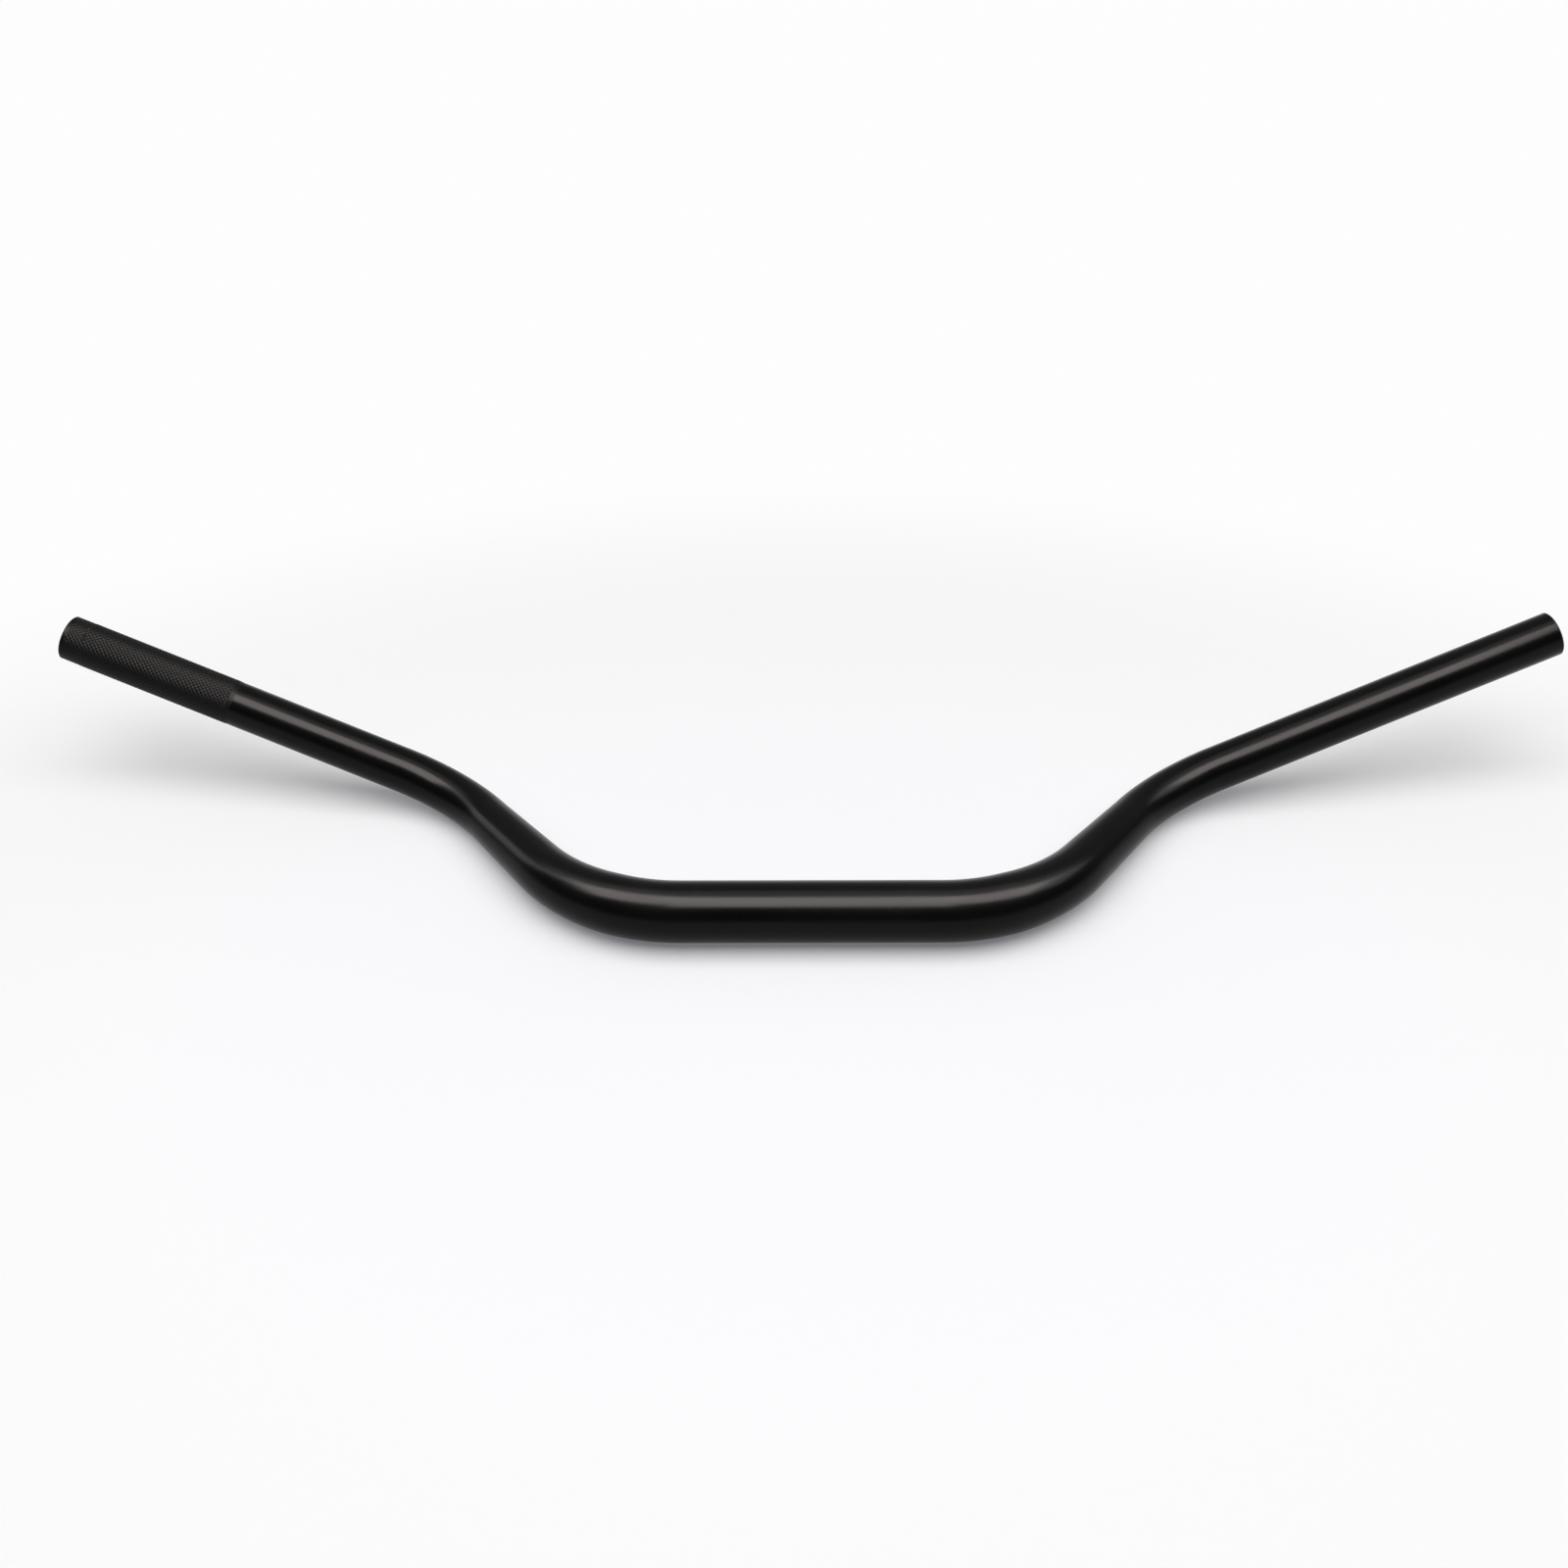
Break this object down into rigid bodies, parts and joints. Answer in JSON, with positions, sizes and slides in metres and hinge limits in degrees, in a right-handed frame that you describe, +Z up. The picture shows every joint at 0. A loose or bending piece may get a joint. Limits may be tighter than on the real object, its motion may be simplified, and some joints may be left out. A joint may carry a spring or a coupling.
{
  "type": "motocross handlebar",
  "caption": "Bare tapered tube handlebar with a thick straight clamp section, swept risers, raised ends and a knurled band under the left grip.",
  "frame": {"origin": "middle of the clamp straight, on the tube's axis", "axes": "+X along the clamp straight towards the throttle side, +Y the way the risers lean as the bar lies, +Z up from the floor it lies on"},
  "size_m": [0.7432, 0.1671, 0.081],
  "materials": {
    "black_anodised_aluminium": "satin black anodised, lightly bead blasted"
  },
  "bodies": {
    "root": {"handlebar": "black_anodised_aluminium"}
  },
  "joints": []
}
